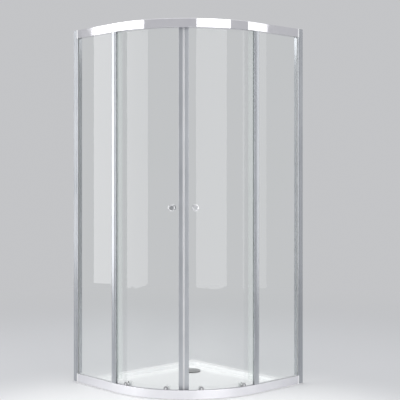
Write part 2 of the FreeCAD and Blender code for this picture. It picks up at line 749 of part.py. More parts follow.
def glazing_gaskets():
    """Soft strips that fill the wall pocket, both rail slots and the stile's groove."""
    slot_bottom = TRAY_HEIGHT + BOTTOM_SLOT_FLOOR
    slot_top = TOP_RAIL_BASE + TOP_SLOT_CEILING - RAIL_WALL
    strips = [
        block(POCKET_FLOOR, PROFILE_FRONT, POCKET_U, POCKET_END_U, slot_bottom, slot_top),
        block(RAIL_START, STRAIGHT, RAIL_WALL, WEB_U, slot_bottom, BOTTOM_RAIL_TOP),
        block(RAIL_START, STRAIGHT, RAIL_WALL, WEB_U, TOP_RAIL_BASE, slot_top),
        block(
            STILE_S + STILE_LEG_START, STILE_FLOOR_S, POCKET_U, POCKET_END_U,
            BOTTOM_RAIL_TOP, TOP_RAIL_BASE),
    ]
    glass = fixed_glass()
    return [strip.cut(glass) for strip in strips]


def fixed_stile():
    """Extrusion on the free edge of the fixed glass: a hollow face between two beads."""
    leg_s = STILE_S + STILE_LEG_START
    inner_u = POCKET_END_U + STILE_LEG
    slot_u = seal_slot_u()
    start = (STILE_S, STILE_EDGE)
    foot0 = (STILE_S + STILE_BEAD, STILE_BEAD_FOOT)
    foot1 = (STILE_END_S - STILE_BEAD, STILE_BEAD_FOOT)
    stop = (STILE_END_S, STILE_EDGE)
    face = [
        three_point_arc(start, (STILE_S + STILE_BEAD / 2, STILE_FACE), foot0),
        three_point_arc(foot0, (STILE_S + STILE_WIDTH / 2, STILE_BEAD_FOOT + STILE_HOLLOW), foot1),
        three_point_arc(foot1, (STILE_END_S - STILE_BEAD / 2, STILE_FACE), stop),
    ]
    sides = open_outline([
        stop,
        (STILE_END_S, slot_u[0]),
        (STILE_END_S - SEAL_ROOT, slot_u[0]),
        (STILE_END_S - SEAL_ROOT, slot_u[1]),
        (STILE_END_S, slot_u[1]),
        (STILE_END_S, inner_u),
        (leg_s, inner_u),
        (leg_s, POCKET_END_U),
        (STILE_FLOOR_S, POCKET_END_U),
        (STILE_FLOOR_S, POCKET_U),
        (STILE_S, POCKET_U),
        start,
    ])
    return upright(Part.Face(Part.Wire(face + sides)), BOTTOM_RAIL_TOP, TOP_RAIL_BASE)


def seal_slot_u():
    middle = (POCKET_U + POCKET_END_U) / 2
    return middle - SEAL / 2, middle + SEAL / 2


def stile_seals():
    """Slanted wing from the stile towards the door glass, and a brush behind the stile."""
    tip = DOOR_U - SEAL_TIP_GAP
    root0, root1 = seal_slot_u()
    wing = outline([
        (STILE_END_S - SEAL_ROOT, root0),
        (STILE_END_S + SEAL, root0),
        (STILE_END_S + WING_WIDTH, tip),
        (STILE_END_S + WING_WIDTH - SEAL, tip),
        (STILE_END_S, root1),
        (STILE_END_S - SEAL_ROOT, root1),
    ])
    base_u = POCKET_END_U + STILE_LEG
    brush_s = STILE_S + STILE_LEG_START + BRUSH_SETBACK
    pile0 = brush_s + (BRUSH_BASE - SEAL) / 2
    brush = outline([
        (brush_s, base_u),
        (brush_s + BRUSH_BASE, base_u),
        (brush_s + BRUSH_BASE, base_u + BRUSH_BASE_HEIGHT),
        (pile0 + SEAL, base_u + BRUSH_BASE_HEIGHT),
        (pile0 + SEAL, tip),
        (pile0, tip),
        (pile0, base_u + BRUSH_BASE_HEIGHT),
        (brush_s, base_u + BRUSH_BASE_HEIGHT),
    ])
    foot = BOTTOM_WHEEL_Z + WHEEL_RADIUS + RELEASE_LIFT + SEAL_FOOT_GAP
    return [upright(Part.Face(wire), foot, TOP_RAIL_BASE) for wire in (wing, brush)]


# ---------------------------------------------------------------- left door
def door_tail_angle():
    return -MEETING + along_curve(DOOR_OVERLAP, DOOR_U)


def door_edge_angle():
    return along_curve(MEETING_GAP + MAGNET_WIDTH + EDGE_WIDTH - EDGE_GRIP, DOOR_U)


def knob_angle():
    return math.degrees(math.asin(KNOB_OFFSET / (CURVE_RADIUS - DOOR_U)))


def slot_in_glass(angle, radius):
    """Upright slot that lets a bottom roller's axle lift."""
    u0 = DOOR_U - CUT_MARGIN
    u1 = DOOR_INNER_U + CUT_MARGIN
    low = radial_rod(angle, BOTTOM_WHEEL_Z, u0, u1, radius)
    high = low.copy()
    high.translate(V(0, 0, RELEASE_LIFT))
    side = along_curve(radius, DOOR_U)
    middle = sector(
        u0, u1, angle - side, angle + side, BOTTOM_WHEEL_Z, BOTTOM_WHEEL_Z + RELEASE_LIFT)
    return [low, high, middle]


def bracket_screw_angles(angle):
    step = along_curve(BRACKET_SCREW_OFFSET, DOOR_INNER_U)
    return [angle - step, angle + step]


def door_glass():
    glass = sector(
        DOOR_U, DOOR_INNER_U, door_edge_angle(), door_tail_angle(), DOOR_GLASS_BOTTOM, DOOR_GLASS_TOP)
    u0 = DOOR_U - CUT_MARGIN
    u1 = DOOR_INNER_U + CUT_MARGIN
    holes = [radial_rod(knob_angle(), KNOB_Z, u0, u1, KNOB_STUD_RADIUS + HOLE_PLAY)]
    for angle in (LEAD_ANGLE, TAIL_ANGLE):
        holes.append(radial_rod(angle, TOP_WHEEL_Z, u0, u1, SPACER_RADIUS + HOLE_PLAY))
        holes += slot_in_glass(angle, RELEASE_AXLE_RADIUS + RELEASE_AXLE_PLAY)
        for screw in bracket_screw_angles(angle):
            z = TRAY_HEIGHT + BRACKET_SCREW_HEIGHT
            holes.append(radial_rod(screw, z, u0, u1, SCREW_RADIUS + HOLE_PLAY))
    for hole in holes:
        glass = glass.cut(hole)
    return glass


def door_edge_profile():
    """Meeting profile that grips the door glass, from the bottom seal to the glass's top edge."""
    u0 = DOOR_U - (EDGE_THICK - GLASS) / 2
    u1 = u0 + EDGE_THICK
    start = along_curve(MEETING_GAP + MAGNET_WIDTH, DOOR_U)
    stop = along_curve(MEETING_GAP + MAGNET_WIDTH + EDGE_WIDTH, DOOR_U)
    past = stop + along_curve(CUT_MARGIN, DOOR_U)
    body = sector(u0, u1, start, stop, BOTTOM_SEAL_TOP, DOOR_GLASS_TOP)
    corners = [polar(angle, CURVE_RADIUS - u) for angle in (start, stop) for u in (u0, u1)]
    body = rounded_uprights(body, corners, EDGE_ROUND)
    groove = sector(DOOR_U, DOOR_INNER_U, door_edge_angle(), past, BOTTOM_SEAL_TOP, DOOR_GLASS_TOP)
    return body.cut(groove)


def magnet_strip():
    u0 = DOOR_U + (GLASS - MAGNET_THICK) / 2
    start = along_curve(MEETING_GAP, DOOR_U)
    stop = along_curve(MEETING_GAP + MAGNET_WIDTH, DOOR_U)
    return sector(u0, u0 + MAGNET_THICK, start, stop, BOTTOM_SEAL_TOP, DOOR_GLASS_TOP)


def door_tail_seal():
    """Clip on the tail edge of the glass, with a lip that closes against the stile's brush."""
    tail = door_tail_angle()
    start = tail - along_curve(TAIL_CLIP, DOOR_U)
    stop = tail + along_curve(CLIP_WALL, DOOR_U)
    z0 = BOTTOM_RAIL_TOP + END_GAP
    z1 = TOP_RAIL_BASE - END_GAP
    clip = sector(DOOR_U - CLIP_WALL, DOOR_INNER_U + CLIP_WALL, start, stop, z0, z1)
    lip = sector(DOOR_U - TAIL_LIP, DOOR_U, tail, stop, z0, z1)
    past = start - along_curve(CUT_MARGIN, DOOR_U)
    return fused([clip, lip]).cut(sector(DOOR_U, DOOR_INNER_U, past, tail, z0, z1))


def door_bottom_seal():
    tail = door_tail_angle()
    edge = door_edge_angle()
    past = along_curve(CUT_MARGIN, DOOR_U)
    body = sector(
        DOOR_U - CLIP_WALL, DOOR_INNER_U + CLIP_WALL, edge, tail, BOTTOM_SEAL_BASE, BOTTOM_SEAL_TOP)
    return body.cut(
        sector(DOOR_U, DOOR_INNER_U, edge - past, tail + past, DOOR_GLASS_BOTTOM, BOTTOM_SEAL_TOP))


def knob_profile(face_u, sign):
    """(u, r) outline of a knob that stands on a washer and points away from the glass."""
    rose = face_u + sign * KNOB_ROSE
    head = face_u + sign * (KNOB_PROJECTION - KNOB_HEAD)
    end = face_u + sign * KNOB_PROJECTION
    return [
        (face_u, 0),
        (face_u, KNOB_ROSE_RADIUS, KNOB_ROSE_ROUND),
        (rose, KNOB_ROSE_RADIUS, KNOB_ROSE_ROUND),
        (rose, KNOB_NECK_RADIUS, KNOB_ROSE_ROUND),
        (head, KNOB_NECK_RADIUS, KNOB_NECK_ROUND),
        (head, KNOB_RADIUS, KNOB_EDGE_ROUND),
        (end, KNOB_RADIUS, KNOB_EDGE_ROUND),
        (end, KNOB_DISH_RADIUS, KNOB_DISH_ROUND),
        (end - sign * KNOB_DISH, KNOB_DISH_RADIUS - KNOB_DISH, KNOB_DISH_ROUND),
        (end - sign * KNOB_DISH, 0),
    ]


def knob_outer():
    """Outer knob with the stud that passes through the glass."""
    angle = knob_angle()
    face_u = DOOR_U - WASHER
    knob = radial_turned(angle, KNOB_Z, knob_profile(face_u, -1))
    stud_end = DOOR_INNER_U + WASHER_SEAT + WASHER + KNOB_STUD_END
    return fused([knob, radial_rod(angle, KNOB_Z, face_u, stud_end, KNOB_STUD_RADIUS)])


def knob_inner():
    angle = knob_angle()
    face_u = DOOR_INNER_U + WASHER_SEAT + WASHER
    knob = radial_turned(angle, KNOB_Z, knob_profile(face_u, 1))
    end = face_u + KNOB_STUD_END + SCREW_PLAY
    return knob.cut(radial_rod(angle, KNOB_Z, face_u, end, KNOB_STUD_RADIUS + SCREW_PLAY))


def glass_washers():
    """Soft washers on both faces of the glass at the knob and at the top rollers."""
    inner = DOOR_INNER_U + WASHER_SEAT
    rings = [
        radial_ring(knob_angle(), KNOB_Z, DOOR_U - WASHER, DOOR_U, KNOB_ROSE_RADIUS, KNOB_STUD_RADIUS),
        radial_ring(knob_angle(), KNOB_Z, inner, inner + WASHER, KNOB_ROSE_RADIUS, KNOB_STUD_RADIUS),
    ]
    for angle in (LEAD_ANGLE, TAIL_ANGLE):
        rings.append(radial_ring(angle, TOP_WHEEL_Z, DOOR_U - WASHER, DOOR_U, FLANGE_RADIUS, SPACER_RADIUS))
        rings.append(radial_ring(angle, TOP_WHEEL_Z, inner, inner + WASHER, FLANGE_RADIUS, SPACER_RADIUS))
    return rings


# ---------------------------------------------------------------- rollers
def wheel(angle, z):
    u0 = WHEEL_U
    u1 = WHEEL_U + WHEEL_WIDTH
    tread = WHEEL_RADIUS
    bore = AXLE_RADIUS + AXLE_PLAY
    recess = AXLE_HEAD_RADIUS + SIDE_PLAY
    return radial_turned(angle, z, [
        (u0, recess),
        (u0, tread, WHEEL_EDGE),
        (u1, tread, WHEEL_EDGE),
        (u1, bore),
        (u0 + AXLE_HEAD_RECESS, bore),
        (u0 + AXLE_HEAD_RECESS, recess),
    ])


def axle_head_u():
    """Depths of the axle's head inside the wheel's recess."""
    inner = WHEEL_U + AXLE_HEAD_RECESS - SIDE_PLAY / 2
    return inner - AXLE_HEAD, inner


def top_roller_stud(angle):
    head0, head1 = axle_head_u()
    shoulder = WHEEL_U + WHEEL_WIDTH + SIDE_PLAY
    flange1 = DOOR_U - WASHER
    inner = DOOR_INNER_U + WASHER_SEAT + WASHER
    z = TOP_WHEEL_Z
    return fused([
        radial_rod(angle, z, head0, head1, AXLE_HEAD_RADIUS),
        radial_rod(angle, z, head1, shoulder, AXLE_RADIUS),
        radial_rod(angle, z, shoulder, inner, SPACER_RADIUS),
        radial_rod(angle, z, flange1 - FLANGE, flange1, FLANGE_RADIUS),
        radial_rod(angle, z, inner, inner + NUT_THREAD, AXLE_RADIUS),
    ])


def top_roller_cap(angle):
    """Round cap nut on the inner face of the glass."""
    u0 = DOOR_INNER_U + WASHER_SEAT + WASHER
    u1 = u0 + NUT_HEIGHT
    nut = radial_turned(angle, TOP_WHEEL_Z, [
        (u0, 0),
        (u0, NUT_RADIUS),
        (u1, NUT_RADIUS, NUT_EDGE),
        (u1, 0),
    ])
    thread = radial_rod(angle, TOP_WHEEL_Z, u0, u0 + NUT_THREAD + SCREW_PLAY, AXLE_RADIUS + SCREW_PLAY)
    return nut.cut(thread)


# ---------------------------------------------------------------- quick release
def stem_place(angle):
    """Point under a bottom roller's slider, on the axis of its stem."""
    return polar(angle, CURVE_RADIUS - bracket_u()[0] - BRACKET_DEPTH / 2)


def bracket_u():
    back = DOOR_INNER_U
    return back + BRACKET_WALL, back + BRACKET_DEPTH


def release_bracket(angle):
    """Holder on the inner face of the glass: back plate, two cheeks and a spring shelf."""
    u0 = DOOR_INNER_U
    plate, front = bracket_u()
    side = along_curve(BRACKET_HALF_WIDTH, u0)
    wall = along_curve(BRACKET_WALL, u0)
    z0 = TRAY_HEIGHT + BRACKET_BOTTOM
    z1 = TRAY_HEIGHT + BRACKET_TOP
    shelf = TRAY_HEIGHT + BRACKET_SHELF
    body = fused([
        sector(u0, plate, angle - side, angle + side, z0, z1),
        sector(plate, front, angle - side, angle - side + wall, z0, z1),
        sector(plate, front, angle + side - wall, angle + side, z0, z1),
        sector(plate, front, angle - side + wall, angle + side - wall, shelf, shelf + BRACKET_SHELF_WALL),
    ])
    centre = stem_place(angle)
    stem_hole = Part.makeCylinder(
        STEM_RADIUS + STEM_PLAY, BRACKET_SHELF_WALL, centre + V(0, 0, shelf))
    holes = [stem_hole]
    for screw in bracket_screw_angles(angle):
        z = TRAY_HEIGHT + BRACKET_SCREW_HEIGHT
        holes.append(radial_rod(screw, z, u0 - CUT_MARGIN, plate + CUT_MARGIN, SCREW_RADIUS + SCREW_PLAY))
    return without(body, holes)


def bracket_screws(angle):
    screws = []
    plate = bracket_u()[0] + WASHER_SEAT
    z = TRAY_HEIGHT + BRACKET_SCREW_HEIGHT
    for screw in bracket_screw_angles(angle):
        screws.append(fused([
            radial_rod(screw, z, DOOR_U - BRACKET_SCREW_HEAD, DOOR_U, SCREW_HEAD_RADIUS),
            radial_rod(screw, z, DOOR_U, plate + BRACKET_NUT, SCREW_RADIUS),
            radial_rod(screw, z, plate, plate + BRACKET_NUT, BRACKET_NUT_RADIUS),
        ]))
    return screws


def release_slider(angle):
    """Spring-loaded block with the bottom wheel's axle, a finger tab, a stem and its collar."""
    plate, front = bracket_u()
    u0 = plate + SLIDER_GAP
    u1 = front
    side = along_curve(SLIDER_HALF_WIDTH, plate)
    bottom = TRAY_HEIGHT + BRACKET_SHELF + BRACKET_SHELF_WALL + SLIDER_GAP
    top = TRAY_HEIGHT + SLIDER_TOP
    tab_top = top - FINGER_TAB_DROP
    centre = stem_place(angle)
    collar = TRAY_HEIGHT + COLLAR_BOTTOM
    head0, head1 = axle_head_u()
    shoulder = WHEEL_U + WHEEL_WIDTH + SIDE_PLAY
    z = BOTTOM_WHEEL_Z
    return fused([
        sector(u0, u1, angle - side, angle + side, bottom, top),
        sector(
            u1, u1 + FINGER_TAB, angle - side / 2, angle + side / 2,
            tab_top - FINGER_TAB_HEIGHT, tab_top),
        Part.makeCylinder(STEM_RADIUS, bottom - collar, centre + V(0, 0, collar)),
        Part.makeCylinder(COLLAR_RADIUS, COLLAR_HEIGHT, centre + V(0, 0, collar)),
        radial_rod(angle, z, head0, head1, AXLE_HEAD_RADIUS),
        radial_rod(angle, z, head1, shoulder, AXLE_RADIUS),
        radial_rod(angle, z, shoulder, u0 + SLIDER_GAP, RELEASE_AXLE_RADIUS),
    ])


def release_spring(angle):
    """Coil spring between the slider's collar and the bracket's shelf."""
    z0 = TRAY_HEIGHT + COLLAR_BOTTOM + COLLAR_HEIGHT + SPRING_END_GAP + SPRING_WIRE
    z1 = TRAY_HEIGHT + BRACKET_SHELF - SPRING_END_GAP - SPRING_WIRE
    pitch = (z1 - z0) / SPRING_TURNS
    helix = Part.makeHelix(pitch, z1 - z0, SPRING_RADIUS)
    wire = Part.Wire(Part.makeCircle(SPRING_WIRE, V(SPRING_RADIUS, 0, 0), V(0, 1, 0)))
    spring = Part.Wire(helix.Edges).makePipeShell([wire], True, True)
    spring.translate(stem_place(angle) + V(0, 0, z0))
    return spring


# ---------------------------------------------------------------- stops
def door_stops():
    """Rubber blocks in the top trough: one at the closed end and one at the open end of a door."""
    middle = (TROUGH_U + LIP_U) / 2
    u0 = middle - STOP_WIDTH / 2
    u1 = middle + STOP_WIDTH / 2
    z0 = TOP_RAIL_BASE + RAIL_WALL
    z1 = z0 + STOP_HEIGHT
    near = LEAD_ANGLE - along_curve(WHEEL_RADIUS + STOP_GAP, middle)
    closed = sector(u0, u1, near - along_curve(STOP_LENGTH, middle), near, z0, z1)
    past_curve = math.radians(TAIL_ANGLE + DOOR_TRAVEL + MEETING) * (CURVE_RADIUS - middle)
    face = STRAIGHT - past_curve - WHEEL_RADIUS - STOP_GAP
    opened = block(face - STOP_LENGTH, face, u0, u1, z0, z1)
    return [closed, opened]


# ---------------------------------------------------------------- all nodes
os.makedirs("parts", exist_ok=True)

save("shower_tray", [shower_tray()])
save("waste_flange", [waste_flange()])
save("waste_gasket", [waste_gasket()])
save("waste_cover", [waste_cover()])
save("bottom_rail", [bottom_rail()])
save("top_rail", [top_rail()])
save_pair("wall_channel", [wall_channel()])
save_pair("side_profile", [side_profile()])
save("rail_connectors", both_sides([bottom_connector(), top_connector()]))
save("frame_screws", both_sides(
    [rail_screw(TRAY_HEIGHT, V(0, 0, 1)), rail_screw(FRAME_TOP, V(0, 0, -1))]
    + [side_screw(z) for z in side_screw_heights()]))
save("screw_caps", both_sides([screw_cap(z) for z in side_screw_heights()]))
save_pair("fixed_glass", [fixed_glass()])
save("glazing_gaskets", both_sides(glazing_gaskets()))
save_pair("fixed_stile", [fixed_stile()])
save("stile_seals", both_sides(stile_seals()))
save("door_stops", both_sides(door_stops()))

save_pair("door_glass", [door_glass()])
save_pair("door_edge_profile", [door_edge_profile()])
save_pair("magnet_strip", [magnet_strip()])
save_pair("door_tail_seal", [door_tail_seal()])
save_pair("door_bottom_seal", [door_bottom_seal()])
save_pair("knob_outer", [knob_outer()])
save_pair("knob_inner", [knob_inner()])
save_pair("glass_washers", glass_washers())
save_pair("top_roller_studs", [top_roller_stud(LEAD_ANGLE), top_roller_stud(TAIL_ANGLE)])
save_pair("top_roller_caps", [top_roller_cap(LEAD_ANGLE), top_roller_cap(TAIL_ANGLE)])
save_pair("release_brackets", [release_bracket(LEAD_ANGLE), release_bracket(TAIL_ANGLE)])
save_pair("bracket_screws", bracket_screws(LEAD_ANGLE) + bracket_screws(TAIL_ANGLE))
for place, roller_angle in (("lead", LEAD_ANGLE), ("tail", TAIL_ANGLE)):
    save_pair("top_wheel_" + place, [wheel(roller_angle, TOP_WHEEL_Z)])
    save_pair("bottom_wheel_" + place, [wheel(roller_angle, BOTTOM_WHEEL_Z)])
    save_pair("release_slider_" + place, [release_slider(roller_angle)])
    save_pair("release_spring_" + place, [release_spring(roller_angle)])
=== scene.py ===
"""Looks of the quadrant shower enclosure: finishes for every node, soft studio light and the camera."""
import json
import math

import bmesh
import bpy
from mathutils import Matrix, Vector


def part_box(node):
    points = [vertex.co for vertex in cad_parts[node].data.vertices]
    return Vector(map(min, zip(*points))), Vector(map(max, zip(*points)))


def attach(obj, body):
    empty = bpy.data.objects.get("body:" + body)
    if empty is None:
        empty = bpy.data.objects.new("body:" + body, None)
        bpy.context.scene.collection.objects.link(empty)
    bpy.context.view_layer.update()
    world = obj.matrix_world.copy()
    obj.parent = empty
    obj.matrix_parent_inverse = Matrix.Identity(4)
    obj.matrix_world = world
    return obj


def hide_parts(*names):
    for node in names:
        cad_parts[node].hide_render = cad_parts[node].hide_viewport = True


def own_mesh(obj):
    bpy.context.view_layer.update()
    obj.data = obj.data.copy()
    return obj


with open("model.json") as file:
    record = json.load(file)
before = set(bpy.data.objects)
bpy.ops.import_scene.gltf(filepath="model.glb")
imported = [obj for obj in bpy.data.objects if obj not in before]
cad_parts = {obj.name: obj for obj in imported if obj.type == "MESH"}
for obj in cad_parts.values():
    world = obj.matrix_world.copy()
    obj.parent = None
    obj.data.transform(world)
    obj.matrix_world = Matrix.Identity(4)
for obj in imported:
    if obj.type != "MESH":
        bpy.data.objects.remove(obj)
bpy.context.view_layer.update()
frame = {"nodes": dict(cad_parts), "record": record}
nodes = frame["nodes"]
SIDES = ("left", "right")
PLACES = ("lead", "tail")

# ---------------------------------------------------------------- places, in metres
RIM_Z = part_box("shower_tray")[1].z
HALF_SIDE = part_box("bottom_rail")[1].x
CURVE_RADIUS = 0.54        # of the rails' outer face, in plan
CURVE_CENTRE = Vector((HALF_SIDE - CURVE_RADIUS, CURVE_RADIUS - HALF_SIDE, 0))
IN_PLAN = Vector((1, 1, 0))


# ---------------------------------------------------------------- camera
CAMERA_PLACE = Vector((3.9115, -3.5070, 1.1969))
CAMERA_TURN = math.radians(47.375)     # turned from +Y towards -X, level
CAMERA_SENSOR = 36.0                   # mm
CAMERA_LENS = 85.2                     # mm
CAMERA_SHIFT = -0.067                  # keeps the uprights parallel, as in the photograph
CAMERA_NEAR = 0.05
CAMERA_FAR = 60.0


def make_camera():
    data = bpy.data.cameras.new("camera")
    data.sensor_width = CAMERA_SENSOR
    data.lens = CAMERA_LENS
    data.shift_y = CAMERA_SHIFT
    data.clip_start = CAMERA_NEAR
    data.clip_end = CAMERA_FAR
    camera = bpy.data.objects.new("camera", data)
    camera.location = CAMERA_PLACE
    camera.rotation_euler = (math.pi / 2, 0, CAMERA_TURN)
    bpy.context.scene.collection.objects.link(camera)
    bpy.context.scene.camera = camera


# ---------------------------------------------------------------- helpers
class Tree:
    """A node tree of a material or a world, with short calls to add and join nodes."""

    def __init__(self, owner, output="OutputMaterial"):
        owner.use_nodes = True
        self.owner = owner
        self.nodes = owner.node_tree.nodes
        self.links = owner.node_tree.links
        self.nodes.clear()
        self.output = self.add(output)

    def add(self, kind, settings=None, **inputs):
        """Adds a node. Inputs go by their names, with an underscore for a space."""
        node = self.nodes.new("ShaderNode" + kind)
        for key, value in (settings or {}).items():
            setattr(node, key, value)
        for key, value in inputs.items():
            self.feed(node.inputs[key.replace("_", " ")], value)
        return node

    def feed(self, socket, value):
        """Joins another node's output to a socket, or sets the socket's own value."""
        if isinstance(value, bpy.types.NodeSocket):
            self.links.new(value, socket)
        else:
            socket.default_value = value

    def spot(self):
        """The shaded point in the part's own frame."""
        return self.add("TexCoord").outputs["Object"]

    def noise(self, scale, detail, stretch=(1, 1, 1), roughness=0.5):
        """Noise of so many cells in a metre, stretched by a factor for each axis."""
        place = self.add("Mapping", Vector=self.spot(), Scale=stretch)
        node = self.add(
            "TexNoise", Vector=place.outputs["Vector"], Scale=scale, Detail=detail, Roughness=roughness)
        return node.outputs["Fac"]

    def ramp(self, value, low, high, start=0.3, stop=0.7):
        """Maps a value that runs from start to stop to one that runs from low to high."""
        node = self.add(
            "MapRange", Value=value, From_Min=start, From_Max=stop, To_Min=low, To_Max=high)
        return node.outputs["Result"]

    def maths(self, operation, first, second):
        node = self.add("Math", {"operation": operation})
        self.feed(node.inputs[0], first)
        self.feed(node.inputs[1], second)
        return node.outputs[0]

    def vector_maths(self, operation, first, second=None):
        """The operation's number where it gives one, else its vector."""
        node = self.add("VectorMath", {"operation": operation})
        self.feed(node.inputs[0], first)
        if second is not None:
            self.feed(node.inputs[1], second)
        gives_number = operation in ("DISTANCE", "LENGTH", "DOT_PRODUCT")
        return node.outputs["Value" if gives_number else "Vector"]

    def away_from(self, centre, start, stop):
        """0 within the distance start of a point, 1 beyond the distance stop."""
        distance = self.vector_maths("DISTANCE", self.spot(), centre)
        smooth = {"interpolation_type": "SMOOTHERSTEP"}
        return self.add("MapRange", smooth, Value=distance, From_Min=start, From_Max=stop).outputs["Result"]

    def within(self, value, low, high, edge):
        """1 where a value lies between two bounds, 0 outside them."""
        half = (high - low) / 2
        offset = self.maths("ABSOLUTE", self.maths("SUBTRACT", value, low + half), 0.0)
        return self.ramp(offset, 1.0, 0.0, half - edge, half)

    def mix_colours(self, factor, first, second):
        node = self.add("Mix", {"data_type": "RGBA"})
        self.feed(node.inputs["Factor"], factor)
        self.feed(node.inputs[6], first)
        self.feed(node.inputs[7], second)
        return node.outputs[2]

    def mix_numbers(self, factor, first, second):
        node = self.add("Mix", {"data_type": "FLOAT"})
        self.feed(node.inputs[0], factor)
        self.feed(node.inputs[2], first)
        self.feed(node.inputs[3], second)
        return node.outputs[0]

    def mix_shaders(self, factor, first, second):
        node = self.add("MixShader")
        self.feed(node.inputs[0], factor)
        self.feed(node.inputs[1], first.outputs[0])
        self.feed(node.inputs[2], second.outputs[0])
        return node

    def bump(self, height, depth):
        return self.add("Bump", Height=height, Distance=depth, Strength=1.0).outputs["Normal"]

    def largest(self, *values):
        """The largest of several values."""
        result = values[0]
        for value in values[1:]:
            result = self.maths("MAXIMUM", result, value)
        return result

    def surface(self, shader):
        """Ends the tree with a shader, and returns the material or world."""
        self.feed(self.output.inputs["Surface"], shader.outputs[0])
        return self.owner


def material_tree(name):
    return Tree(bpy.data.materials.new(name))


def mesh_object(name, mesh, material):
    """Makes a finished bmesh an object of the scene."""
    bmesh.ops.recalc_face_normals(mesh, faces=mesh.faces)
    data = bpy.data.meshes.new(name)
    mesh.to_mesh(data)
    mesh.free()
    data.materials.append(material)
    piece = bpy.data.objects.new(name, data)
    bpy.context.scene.collection.objects.link(piece)
    return piece


def join_rings(mesh, first, second):
    """Adds the band of faces between two closed rings of points."""
    for index in range(len(first)):
        following = (index + 1) % len(first)
        mesh.faces.new((first[index], first[following], second[following], second[index]))


# ---------------------------------------------------------------- materials
# Patterns: cells in a metre, levels of detail, and a stretch along the axes.
HAZE = {"scale": 9.0, "detail": 6.0, "roughness": 0.62}        # water marks on chrome
WIPE = {"scale": 30.0, "detail": 4.0, "stretch": (1, 1, 0.15)}
RIPPLE = {"scale": 60.0, "detail": 2.0}
KNOB_HAZE = {"scale": 9.0, "detail": 6.0}
BRUSHED = {"scale": 500.0, "detail": 2.0}
DRAW_LINES = {"scale": 420.0, "detail": 3.0, "stretch": (1, 1, 0.0008)}
METAL_CLOUD = {"scale": 4.0, "detail": 2.0}
GLASS_CLOUD = {"scale": 2.5, "detail": 4.0}
PLASTIC_CLOUD = {"scale": 11.0, "detail": 5.0}
PLASTIC_DETAIL = 3.0
STREAKS = {"scale": 160.0, "detail": 3.0, "stretch": (1, 1, 0.01)}

# Depths of the relief, in metres.
RIPPLE_DEPTH = 0.00002
DRAW_DEPTH = 0.000008
STREAK_DEPTH = 0.00003

CHROME_POLISH = 0.025
CHROME_DARK = (0.83, 0.82, 0.86, 1)
CHROME_LIGHT = (0.89, 0.885, 0.91, 1)

RAIL_DEPTH = 0.036
RAIL_SKIN = 0.0025         # the chromed walls of a rail are thinner than this
SKIN_EDGE = 0.001
RAIL_POLISH = (0.02, 0.07)
RAIL_INSIDE_COLOUR = (0.8, 0.8, 0.81, 1)
RAIL_INSIDE_ROUGHNESS = 0.4
RAIL_INSIDE_METAL = 0.1

KNOB_DISH = 0.0125         # radius of the satin dish
KNOB_DISH_EDGE = 0.0006
KNOB_END_FACE = (0.8, 0.9)     # how squarely a face looks outward where the end face starts
KNOB_RING_COLOUR = (0.9, 0.9, 0.91, 1)
KNOB_RING_ROUGHNESS = (0.02, 0.06)
KNOB_DISH_COLOUR = (0.44, 0.45, 0.46, 1)
KNOB_DISH_ROUGHNESS = (0.34, 0.46)

CLOUD_ROUGHNESS = 0.03     # added to an extrusion's roughness in clouds
COAT_ROUGHNESS = 0.08
GRAIN_ROUGHNESS = 0.05     # a moulding's roughness varies by this to each side

GLASS_TINT = (0.985, 0.996, 0.99, 1)
GLASS_CLOUD_TINT = (0.975, 0.99, 0.982, 1)
GLASS_IOR = 1.5
STRIP_ROUGHNESS = (0.18, 0.34)
STRIP_OPENING = (0.97, 0.98, 0.975, 1)
STRIP_IOR = 1.5


def grey(value, blue=0.0):
    return (value, value, value + blue, 1.0)


def chrome_material(name, dark, light, smear):
    """Polished chrome with faint wiping marks and water haze."""
    tree = material_tree(name)
    haze = tree.noise(**HAZE)
    tint = tree.mix_colours(tree.ramp(haze, 0.0, 1.0), dark, light)
    wiped = tree.ramp(tree.noise(**WIPE), 0.0, smear / 2)
    rough = tree.maths("ADD", tree.ramp(haze, CHROME_POLISH, smear), wiped)
    normal = tree.bump(tree.noise(**RIPPLE), RIPPLE_DEPTH)
    return tree.surface(
        tree.add("BsdfPrincipled", Base_Color=tint, Metallic=1.0, Roughness=rough, Normal=normal))


def inside_rail(tree, node):
    """1 in the slot and trough of a rail, 0 on its outer skin."""
    low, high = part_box(node)
    spot = tree.add("SeparateXYZ", Vector=tree.spot())
    past_x = tree.maths("MAXIMUM", tree.maths("SUBTRACT", spot.outputs[0], CURVE_CENTRE.x), 0.0)
    past_y = tree.maths("MINIMUM", tree.maths("SUBTRACT", spot.outputs[1], CURVE_CENTRE.y), 0.0)
    reach = tree.vector_maths("LENGTH", tree.add("CombineXYZ", X=past_x, Y=past_y).outputs[0])
    inner_wall = CURVE_RADIUS - RAIL_DEPTH + RAIL_SKIN
    outer_wall = CURVE_RADIUS - RAIL_SKIN
    between_walls = tree.within(reach, inner_wall, outer_wall, SKIN_EDGE)
    off_ends = tree.within(spot.outputs[2], low.z + SKIN_EDGE, high.z - SKIN_EDGE, SKIN_EDGE / 2)
    return tree.maths("MULTIPLY", between_walls, off_ends)


